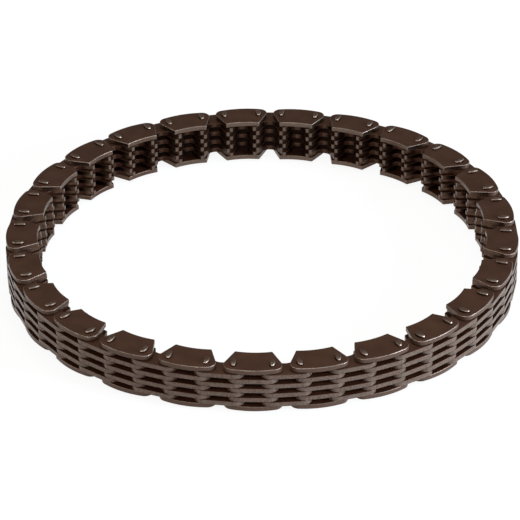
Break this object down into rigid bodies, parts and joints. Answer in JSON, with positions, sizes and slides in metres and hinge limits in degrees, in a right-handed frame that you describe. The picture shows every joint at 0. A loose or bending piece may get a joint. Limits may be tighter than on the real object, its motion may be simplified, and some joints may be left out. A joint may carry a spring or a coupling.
{
  "type": "silent chain",
  "caption": "Endless silent chain lying in a ring, teeth inwards, with outer guide plates and rolling pin-and-rocker joints.",
  "frame": {"origin": "under the centre of the loop, on the plane of the lower pin ends that the chain rests on", "axes": "+Z along the pins, up; -Y through the middle of the front guide link; +X to the right of it"},
  "size_m": [0.1584, 0.1583, 0.0155],
  "materials": {
    "guide_plate_steel": "smooth dark brown oiled steel with a satin sheen",
    "link_steel": "dark brown oiled steel with greyer, rougher punched edges",
    "pin_steel": "hardened steel, worn bright at its end edges"
  },
  "bodies": {
    "guide_link_01": {"guide_link_01_lower_guide_plate": "guide_plate_steel", "guide_link_01_upper_guide_plate": "guide_plate_steel", "guide_link_01_tooth_plate_2": "link_steel", "guide_link_01_tooth_plate_4": "link_steel", "guide_link_01_tooth_plate_6": "link_steel", "guide_link_01_left_pin": "pin_steel", "guide_link_01_right_pin": "pin_steel"},
    "inner_link_01": {"inner_link_01_tooth_plate_1": "link_steel", "inner_link_01_tooth_plate_3": "link_steel", "inner_link_01_tooth_plate_5": "link_steel", "inner_link_01_tooth_plate_7": "link_steel", "inner_link_01_rockers": "pin_steel"},
    "guide_link_02": {"guide_link_02": "link_steel"},
    "inner_link_02": {"inner_link_02": "link_steel"},
    "guide_link_03": {"guide_link_03": "link_steel"},
    "inner_link_03": {"inner_link_03": "link_steel"},
    "guide_link_04": {"guide_link_04": "link_steel"},
    "inner_link_04": {"inner_link_04": "link_steel"},
    "guide_link_05": {"guide_link_05": "link_steel"},
    "inner_link_05": {"inner_link_05": "link_steel"},
    "guide_link_06": {"guide_link_06": "link_steel"},
    "inner_link_06": {"inner_link_06": "link_steel"},
    "guide_link_07": {"guide_link_07": "link_steel"},
    "inner_link_07": {"inner_link_07": "link_steel"},
    "guide_link_08": {"guide_link_08": "link_steel"},
    "inner_link_08": {"inner_link_08": "link_steel"},
    "guide_link_09": {"guide_link_09": "link_steel"},
    "inner_link_09": {"inner_link_09": "link_steel"},
    "guide_link_10": {"guide_link_10": "link_steel"},
    "inner_link_10": {"inner_link_10": "link_steel"},
    "guide_link_11": {"guide_link_11": "link_steel"},
    "inner_link_11": {"inner_link_11": "link_steel"},
    "guide_link_12": {"guide_link_12": "link_steel"},
    "inner_link_12": {"inner_link_12": "link_steel"},
    "guide_link_13": {"guide_link_13": "link_steel"},
    "inner_link_13": {"inner_link_13": "link_steel"},
    "guide_link_14": {"guide_link_14": "link_steel"},
    "inner_link_14": {"inner_link_14": "link_steel"},
    "guide_link_15": {"guide_link_15": "link_steel"},
    "inner_link_15": {"inner_link_15": "link_steel"},
    "guide_link_16": {"guide_link_16": "link_steel"},
    "inner_link_16": {"inner_link_16": "link_steel"},
    "guide_link_17": {"guide_link_17": "link_steel"},
    "inner_link_17": {"inner_link_17": "link_steel"},
    "guide_link_18": {"guide_link_18": "link_steel"},
    "inner_link_18": {"inner_link_18": "link_steel"},
    "guide_link_19": {"guide_link_19": "link_steel"},
    "inner_link_19": {"inner_link_19": "link_steel"},
    "guide_link_20": {"guide_link_20": "link_steel"},
    "inner_link_20": {"inner_link_20": "link_steel"},
    "guide_link_21": {"guide_link_21": "link_steel"},
    "inner_link_21": {"inner_link_21": "link_steel"},
    "guide_link_22": {"guide_link_22": "link_steel"},
    "inner_link_22": {"inner_link_22": "link_steel"},
    "guide_link_23": {"guide_link_23": "link_steel"},
    "inner_link_23": {"inner_link_23": "link_steel"},
    "guide_link_24": {"guide_link_24": "link_steel"},
    "inner_link_24": {"inner_link_24": "link_steel"},
    "guide_link_25": {"guide_link_25": "link_steel"},
    "inner_link_25": {"inner_link_25": "link_steel"}
  },
  "joints": [
    {"name": "pivot_01", "type": "hinge", "parent": "guide_link_01", "child": "inner_link_01", "pos_m": [0.00476, -0.0752, 0.00774], "axis": [0, 0, 1], "range_deg": [-6.52, 4.29]},
    {"name": "pivot_02", "type": "hinge", "parent": "inner_link_01", "child": "guide_link_02", "pos_m": [0.01423, -0.07412, 0.00774], "axis": [0, 0, 1], "range_deg": [-7.19, 10.45]},
    {"name": "pivot_03", "type": "hinge", "parent": "guide_link_02", "child": "inner_link_02", "pos_m": [0.0235, -0.07194, 0.00774], "axis": [0, 0, 1], "range_deg": [-7.48, 10.16]},
    {"name": "pivot_04", "type": "hinge", "parent": "inner_link_02", "child": "guide_link_03", "pos_m": [0.03244, -0.06865, 0.00774], "axis": [0, 0, 1], "range_deg": [-7.83, 9.81]},
    {"name": "pivot_05", "type": "hinge", "parent": "guide_link_03", "child": "inner_link_03", "pos_m": [0.04088, -0.06425, 0.00774], "axis": [0, 0, 1], "range_deg": [-8.15, 9.5]},
    {"name": "pivot_06", "type": "hinge", "parent": "inner_link_03", "child": "guide_link_04", "pos_m": [0.04867, -0.05876, 0.00774], "axis": [0, 0, 1], "range_deg": [-8.35, 9.29]},
    {"name": "pivot_07", "type": "hinge", "parent": "guide_link_04", "child": "inner_link_04", "pos_m": [0.05563, -0.05226, 0.00774], "axis": [0, 0, 1], "range_deg": [-8.39, 9.25]},
    {"name": "pivot_08", "type": "hinge", "parent": "inner_link_04", "child": "guide_link_05", "pos_m": [0.06164, -0.04487, 0.00774], "axis": [0, 0, 1], "range_deg": [-8.27, 9.38]},
    {"name": "pivot_09", "type": "hinge", "parent": "guide_link_05", "child": "inner_link_05", "pos_m": [0.06659, -0.03673, 0.00774], "axis": [0, 0, 1], "range_deg": [-8, 9.64]},
    {"name": "pivot_10", "type": "hinge", "parent": "inner_link_05", "child": "guide_link_06", "pos_m": [0.07044, -0.02802, 0.00774], "axis": [0, 0, 1], "range_deg": [-7.66, 9.99]},
    {"name": "pivot_11", "type": "hinge", "parent": "guide_link_06", "child": "inner_link_06", "pos_m": [0.07317, -0.01889, 0.00774], "axis": [0, 0, 1], "range_deg": [-7.33, 10.32]},
    {"name": "pivot_12", "type": "hinge", "parent": "inner_link_06", "child": "guide_link_07", "pos_m": [0.07479, -0.00951, 0.00774], "axis": [0, 0, 1], "range_deg": [-7.09, 10.56]},
    {"name": "pivot_13", "type": "hinge", "parent": "guide_link_07", "child": "inner_link_07", "pos_m": [0.07533, 0, 0.00774], "axis": [0, 0, 1], "range_deg": [-7, 10.64]},
    {"name": "pivot_14", "type": "hinge", "parent": "inner_link_07", "child": "guide_link_08", "pos_m": [0.07479, 0.00951, 0.00774], "axis": [0, 0, 1], "range_deg": [-7.09, 10.56]},
    {"name": "pivot_15", "type": "hinge", "parent": "guide_link_08", "child": "inner_link_08", "pos_m": [0.07317, 0.01889, 0.00774], "axis": [0, 0, 1], "range_deg": [-7.33, 10.32]},
    {"name": "pivot_16", "type": "hinge", "parent": "inner_link_08", "child": "guide_link_09", "pos_m": [0.07044, 0.02802, 0.00774], "axis": [0, 0, 1], "range_deg": [-7.66, 9.99]},
    {"name": "pivot_17", "type": "hinge", "parent": "guide_link_09", "child": "inner_link_09", "pos_m": [0.06659, 0.03673, 0.00774], "axis": [0, 0, 1], "range_deg": [-8, 9.64]},
    {"name": "pivot_18", "type": "hinge", "parent": "inner_link_09", "child": "guide_link_10", "pos_m": [0.06164, 0.04487, 0.00774], "axis": [0, 0, 1], "range_deg": [-8.27, 9.38]},
    {"name": "pivot_19", "type": "hinge", "parent": "guide_link_10", "child": "inner_link_10", "pos_m": [0.05563, 0.05226, 0.00774], "axis": [0, 0, 1], "range_deg": [-8.39, 9.25]},
    {"name": "pivot_20", "type": "hinge", "parent": "inner_link_10", "child": "guide_link_11", "pos_m": [0.04867, 0.05876, 0.00774], "axis": [0, 0, 1], "range_deg": [-8.35, 9.29]},
    {"name": "pivot_21", "type": "hinge", "parent": "guide_link_11", "child": "inner_link_11", "pos_m": [0.04088, 0.06425, 0.00774], "axis": [0, 0, 1], "range_deg": [-8.15, 9.5]},
    {"name": "pivot_22", "type": "hinge", "parent": "inner_link_11", "child": "guide_link_12", "pos_m": [0.03244, 0.06865, 0.00774], "axis": [0, 0, 1], "range_deg": [-7.83, 9.81]},
    {"name": "pivot_23", "type": "hinge", "parent": "guide_link_12", "child": "inner_link_12", "pos_m": [0.0235, 0.07194, 0.00774], "axis": [0, 0, 1], "range_deg": [-7.48, 10.16]},
    {"name": "pivot_24", "type": "hinge", "parent": "inner_link_12", "child": "guide_link_13", "pos_m": [0.01423, 0.07412, 0.00774], "axis": [0, 0, 1], "range_deg": [-7.19, 10.45]},
    {"name": "pivot_25", "type": "hinge", "parent": "guide_link_13", "child": "inner_link_13", "pos_m": [0.00476, 0.0752, 0.00774], "axis": [0, 0, 1], "range_deg": [-7.02, 10.62]},
    {"name": "pivot_50", "type": "hinge", "parent": "guide_link_01", "child": "inner_link_25", "pos_m": [-0.00476, -0.0752, 0.00774], "axis": [0, 0, -1], "range_deg": [-7.02, 10.62]},
    {"name": "pivot_49", "type": "hinge", "parent": "inner_link_25", "child": "guide_link_25", "pos_m": [-0.01423, -0.07412, 0.00774], "axis": [0, 0, -1], "range_deg": [-7.19, 10.45]},
    {"name": "pivot_48", "type": "hinge", "parent": "guide_link_25", "child": "inner_link_24", "pos_m": [-0.0235, -0.07194, 0.00774], "axis": [0, 0, -1], "range_deg": [-7.48, 10.16]},
    {"name": "pivot_47", "type": "hinge", "parent": "inner_link_24", "child": "guide_link_24", "pos_m": [-0.03244, -0.06865, 0.00774], "axis": [0, 0, -1], "range_deg": [-7.83, 9.81]},
    {"name": "pivot_46", "type": "hinge", "parent": "guide_link_24", "child": "inner_link_23", "pos_m": [-0.04088, -0.06425, 0.00774], "axis": [0, 0, -1], "range_deg": [-8.15, 9.5]},
    {"name": "pivot_45", "type": "hinge", "parent": "inner_link_23", "child": "guide_link_23", "pos_m": [-0.04867, -0.05876, 0.00774], "axis": [0, 0, -1], "range_deg": [-8.35, 9.29]},
    {"name": "pivot_44", "type": "hinge", "parent": "guide_link_23", "child": "inner_link_22", "pos_m": [-0.05563, -0.05226, 0.00774], "axis": [0, 0, -1], "range_deg": [-8.39, 9.25]},
    {"name": "pivot_43", "type": "hinge", "parent": "inner_link_22", "child": "guide_link_22", "pos_m": [-0.06164, -0.04487, 0.00774], "axis": [0, 0, -1], "range_deg": [-8.27, 9.38]},
    {"name": "pivot_42", "type": "hinge", "parent": "guide_link_22", "child": "inner_link_21", "pos_m": [-0.06659, -0.03673, 0.00774], "axis": [0, 0, -1], "range_deg": [-8, 9.64]},
    {"name": "pivot_41", "type": "hinge", "parent": "inner_link_21", "child": "guide_link_21", "pos_m": [-0.07044, -0.02802, 0.00774], "axis": [0, 0, -1], "range_deg": [-7.66, 9.99]},
    {"name": "pivot_40", "type": "hinge", "parent": "guide_link_21", "child": "inner_link_20", "pos_m": [-0.07317, -0.01889, 0.00774], "axis": [0, 0, -1], "range_deg": [-7.33, 10.32]},
    {"name": "pivot_39", "type": "hinge", "parent": "inner_link_20", "child": "guide_link_20", "pos_m": [-0.07479, -0.00951, 0.00774], "axis": [0, 0, -1], "range_deg": [-7.09, 10.56]},
    {"name": "pivot_38", "type": "hinge", "parent": "guide_link_20", "child": "inner_link_19", "pos_m": [-0.07533, 0, 0.00774], "axis": [0, 0, -1], "range_deg": [-7, 10.64]},
    {"name": "pivot_37", "type": "hinge", "parent": "inner_link_19", "child": "guide_link_19", "pos_m": [-0.07479, 0.00951, 0.00774], "axis": [0, 0, -1], "range_deg": [-7.09, 10.56]},
    {"name": "pivot_36", "type": "hinge", "parent": "guide_link_19", "child": "inner_link_18", "pos_m": [-0.07317, 0.01889, 0.00774], "axis": [0, 0, -1], "range_deg": [-7.33, 10.32]},
    {"name": "pivot_35", "type": "hinge", "parent": "inner_link_18", "child": "guide_link_18", "pos_m": [-0.07044, 0.02802, 0.00774], "axis": [0, 0, -1], "range_deg": [-7.66, 9.99]},
    {"name": "pivot_34", "type": "hinge", "parent": "guide_link_18", "child": "inner_link_17", "pos_m": [-0.06659, 0.03673, 0.00774], "axis": [0, 0, -1], "range_deg": [-8, 9.64]},
    {"name": "pivot_33", "type": "hinge", "parent": "inner_link_17", "child": "guide_link_17", "pos_m": [-0.06164, 0.04487, 0.00774], "axis": [0, 0, -1], "range_deg": [-8.27, 9.38]},
    {"name": "pivot_32", "type": "hinge", "parent": "guide_link_17", "child": "inner_link_16", "pos_m": [-0.05563, 0.05226, 0.00774], "axis": [0, 0, -1], "range_deg": [-8.39, 9.25]},
    {"name": "pivot_31", "type": "hinge", "parent": "inner_link_16", "child": "guide_link_16", "pos_m": [-0.04867, 0.05876, 0.00774], "axis": [0, 0, -1], "range_deg": [-8.35, 9.29]},
    {"name": "pivot_30", "type": "hinge", "parent": "guide_link_16", "child": "inner_link_15", "pos_m": [-0.04088, 0.06425, 0.00774], "axis": [0, 0, -1], "range_deg": [-8.15, 9.5]},
    {"name": "pivot_29", "type": "hinge", "parent": "inner_link_15", "child": "guide_link_15", "pos_m": [-0.03244, 0.06865, 0.00774], "axis": [0, 0, -1], "range_deg": [-7.83, 9.81]},
    {"name": "pivot_28", "type": "hinge", "parent": "guide_link_15", "child": "inner_link_14", "pos_m": [-0.0235, 0.07194, 0.00774], "axis": [0, 0, -1], "range_deg": [-7.48, 10.16]},
    {"name": "pivot_27", "type": "hinge", "parent": "inner_link_14", "child": "guide_link_14", "pos_m": [-0.01423, 0.07412, 0.00774], "axis": [0, 0, -1], "range_deg": [-7.19, 10.45]}
  ],
  "couplings": [
    {"joint": "pivot_02", "follows": "pivot_01", "ratio": 1.0257},
    {"joint": "pivot_03", "follows": "pivot_01", "ratio": 1.0708},
    {"joint": "pivot_04", "follows": "pivot_01", "ratio": 1.1241},
    {"joint": "pivot_05", "follows": "pivot_01", "ratio": 1.1724},
    {"joint": "pivot_06", "follows": "pivot_01", "ratio": 1.2037},
    {"joint": "pivot_07", "follows": "pivot_01", "ratio": 1.2104},
    {"joint": "pivot_08", "follows": "pivot_01", "ratio": -1.3182},
    {"joint": "pivot_09", "follows": "pivot_01", "ratio": -1.3593},
    {"joint": "pivot_10", "follows": "pivot_01", "ratio": -1.4118},
    {"joint": "pivot_11", "follows": "pivot_01", "ratio": -1.4625},
    {"joint": "pivot_12", "follows": "pivot_01", "ratio": -1.4991},
    {"joint": "pivot_13", "follows": "pivot_01", "ratio": -1.5124},
    {"joint": "pivot_14", "follows": "pivot_01", "ratio": -1.4991},
    {"joint": "pivot_15", "follows": "pivot_01", "ratio": -1.4625},
    {"joint": "pivot_16", "follows": "pivot_01", "ratio": -1.4118},
    {"joint": "pivot_17", "follows": "pivot_01", "ratio": -1.3593},
    {"joint": "pivot_18", "follows": "pivot_01", "ratio": -1.3182},
    {"joint": "pivot_19", "follows": "pivot_01", "ratio": 1.2104},
    {"joint": "pivot_20", "follows": "pivot_01", "ratio": 1.2037},
    {"joint": "pivot_21", "follows": "pivot_01", "ratio": 1.1724},
    {"joint": "pivot_22", "follows": "pivot_01", "ratio": 1.1241},
    {"joint": "pivot_23", "follows": "pivot_01", "ratio": 1.0708},
    {"joint": "pivot_24", "follows": "pivot_01", "ratio": 1.0257},
    {"joint": "pivot_25", "follows": "pivot_01", "ratio": 1},
    {"joint": "pivot_50", "follows": "pivot_01", "ratio": 1},
    {"joint": "pivot_49", "follows": "pivot_01", "ratio": 1.0257},
    {"joint": "pivot_48", "follows": "pivot_01", "ratio": 1.0708},
    {"joint": "pivot_47", "follows": "pivot_01", "ratio": 1.1241},
    {"joint": "pivot_46", "follows": "pivot_01", "ratio": 1.1724},
    {"joint": "pivot_45", "follows": "pivot_01", "ratio": 1.2037},
    {"joint": "pivot_44", "follows": "pivot_01", "ratio": 1.2104},
    {"joint": "pivot_43", "follows": "pivot_01", "ratio": -1.3182},
    {"joint": "pivot_42", "follows": "pivot_01", "ratio": -1.3593},
    {"joint": "pivot_41", "follows": "pivot_01", "ratio": -1.4118},
    {"joint": "pivot_40", "follows": "pivot_01", "ratio": -1.4625},
    {"joint": "pivot_39", "follows": "pivot_01", "ratio": -1.4991},
    {"joint": "pivot_38", "follows": "pivot_01", "ratio": -1.5124},
    {"joint": "pivot_37", "follows": "pivot_01", "ratio": -1.4991},
    {"joint": "pivot_36", "follows": "pivot_01", "ratio": -1.4625},
    {"joint": "pivot_35", "follows": "pivot_01", "ratio": -1.4118},
    {"joint": "pivot_34", "follows": "pivot_01", "ratio": -1.3593},
    {"joint": "pivot_33", "follows": "pivot_01", "ratio": -1.3182},
    {"joint": "pivot_32", "follows": "pivot_01", "ratio": 1.2104},
    {"joint": "pivot_31", "follows": "pivot_01", "ratio": 1.2037},
    {"joint": "pivot_30", "follows": "pivot_01", "ratio": 1.1724},
    {"joint": "pivot_29", "follows": "pivot_01", "ratio": 1.1241},
    {"joint": "pivot_28", "follows": "pivot_01", "ratio": 1.0708},
    {"joint": "pivot_27", "follows": "pivot_01", "ratio": 1.0257}
  ]
}
